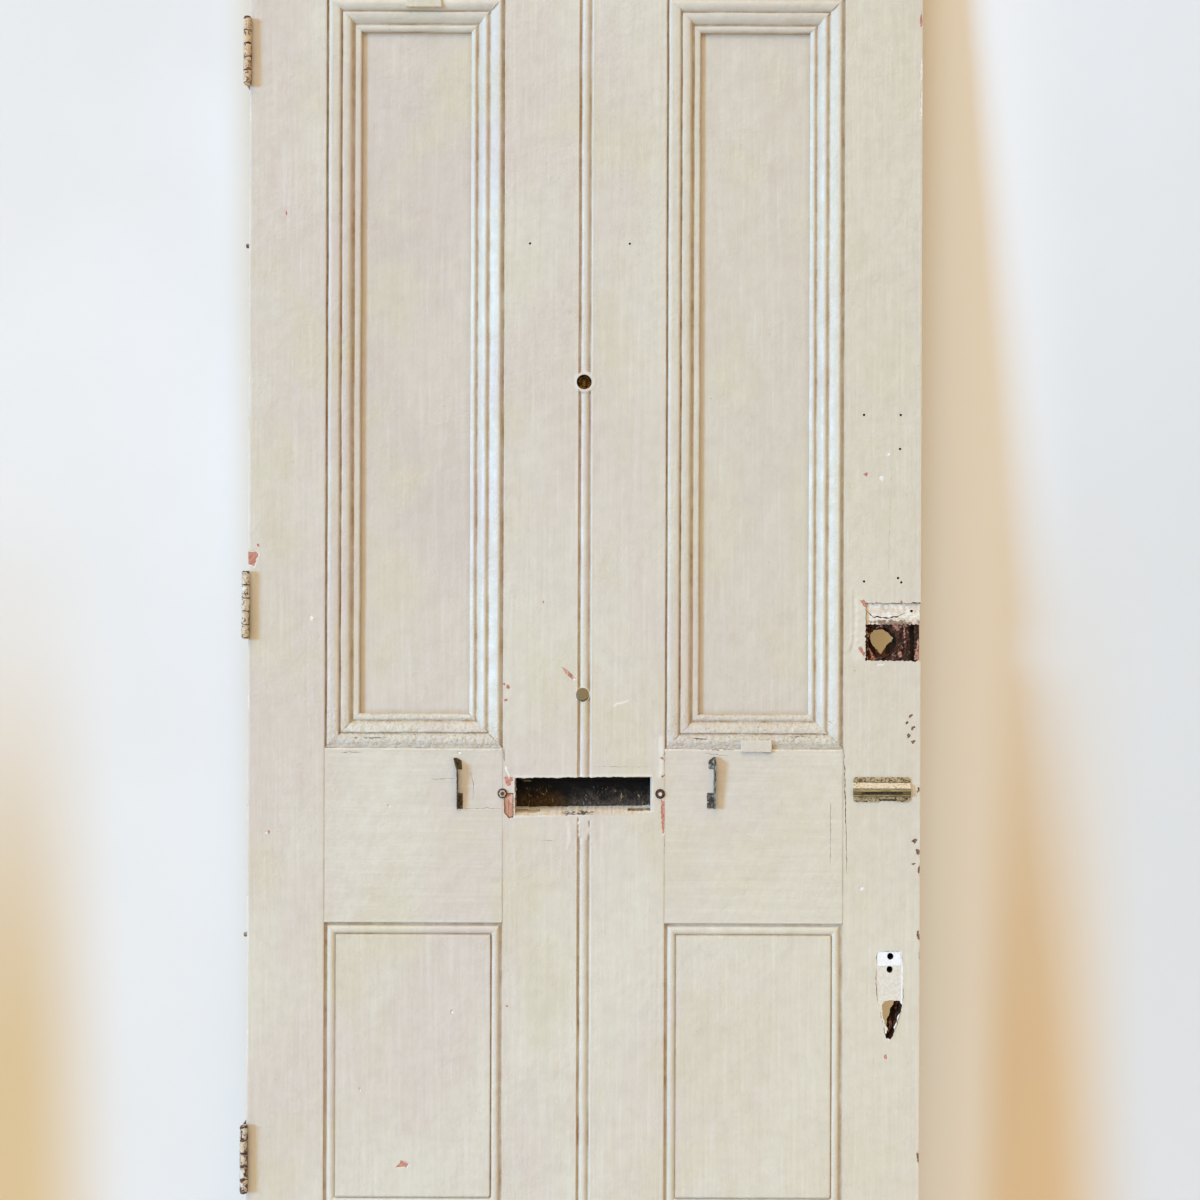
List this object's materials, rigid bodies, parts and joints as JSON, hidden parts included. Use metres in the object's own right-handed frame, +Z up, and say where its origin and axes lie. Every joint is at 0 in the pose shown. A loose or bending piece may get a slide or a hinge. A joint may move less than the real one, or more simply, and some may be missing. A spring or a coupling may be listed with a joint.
{
  "type": "panelled front door",
  "caption": "Old panelled front door leaf with a centre bead, butt hinges, letter plate with sprung flap, chain slide and the holes of lost locks, worn cream paint.",
  "frame": {"origin": "middle of the leaf's bottom edge, halfway through its thickness", "axes": "+Z up the door, -Y out of the room face that the picture shows, +Y out of the street face, -X towards the hinge edge"},
  "size_m": [0.922, 0.0625, 1.981],
  "materials": {
    "painted_timber": "old softwood under many coats of aged cream gloss paint, chipped and brush-marked",
    "bare_timber": "bare sawn softwood",
    "painted_hinge_iron": "cast iron under cream paint, flaking to brown rust",
    "old_iron": "dark dull iron with rust",
    "old_steel": "dull steel, rust in the slots",
    "dark_brass": "brass gone dark, scratched",
    "worn_brass": "mottled old brass, brighter on its ridge"
  },
  "bodies": {
    "jamb_leaves": {"hinge_frame_leaf_bottom": "painted_hinge_iron", "hinge_frame_leaf_middle": "painted_hinge_iron", "hinge_frame_leaf_top": "painted_hinge_iron", "hinge_pin_bottom": "painted_hinge_iron", "hinge_pin_middle": "painted_hinge_iron", "hinge_pin_top": "painted_hinge_iron"},
    "door": {"basket_bracket_left": "old_iron", "basket_bracket_right": "old_iron", "bottom_rail_left": "painted_timber", "bottom_rail_right": "painted_timber", "bracket_screws": "old_steel", "chain_slide": "worn_brass", "chain_slide_screws": "worn_brass", "dog_bolts": "old_iron", "flap_pin": "dark_brass", "flap_spring": "old_steel", "hinge_door_leaf_bottom": "painted_hinge_iron", "hinge_door_leaf_middle": "painted_hinge_iron", "hinge_door_leaf_top": "painted_hinge_iron", "hinge_screws": "old_steel", "hinge_stile": "painted_timber", "letter_plate": "dark_brass", "letter_plate_bolts": "dark_brass", "letter_plate_nuts": "old_steel", "letter_plate_washers": "old_steel", "lock_rail_left": "painted_timber", "lock_rail_right": "painted_timber", "lock_stile": "painted_timber", "lower_beads_left": "painted_timber", "lower_beads_right": "painted_timber", "lower_left_street_moulding": "painted_timber", "lower_panel_left": "painted_timber", "lower_panel_right": "painted_timber", "lower_right_street_moulding": "painted_timber", "meeting_stile_keys": "bare_timber", "meeting_stile_left": "painted_timber", "meeting_stile_right": "painted_timber", "moulding_patch_left": "painted_timber", "moulding_patch_right": "painted_timber", "tenon_wedges": "bare_timber", "top_rail_left": "painted_timber", "top_rail_right": "painted_timber", "upper_left_moulding_bottom": "painted_timber", "upper_left_moulding_left": "painted_timber", "upper_left_moulding_right": "painted_timber", "upper_left_moulding_top": "painted_timber", "upper_left_street_moulding": "painted_timber", "upper_panel_left": "painted_timber", "upper_panel_right": "painted_timber", "upper_right_moulding_bottom": "painted_timber", "upper_right_moulding_left": "painted_timber", "upper_right_moulding_right": "painted_timber", "upper_right_moulding_top": "painted_timber", "upper_right_street_moulding": "painted_timber"},
    "flap": {"letter_flap": "dark_brass"}
  },
  "joints": [
    {"name": "door_swing", "type": "hinge", "parent": "jamb_leaves", "child": "door", "pos_m": [-0.4585, -0.02845, 1.0415], "axis": [0, 0, -1], "range_deg": [0, 170]},
    {"name": "flap_swing", "type": "hinge", "parent": "door", "child": "flap", "pos_m": [-0.0017, 0.01845, 0.8035], "axis": [-1, 0, 0], "range_deg": [0, 80], "stiffness_Nm_per_rad": 0.05, "springref_deg": -34.38}
  ]
}
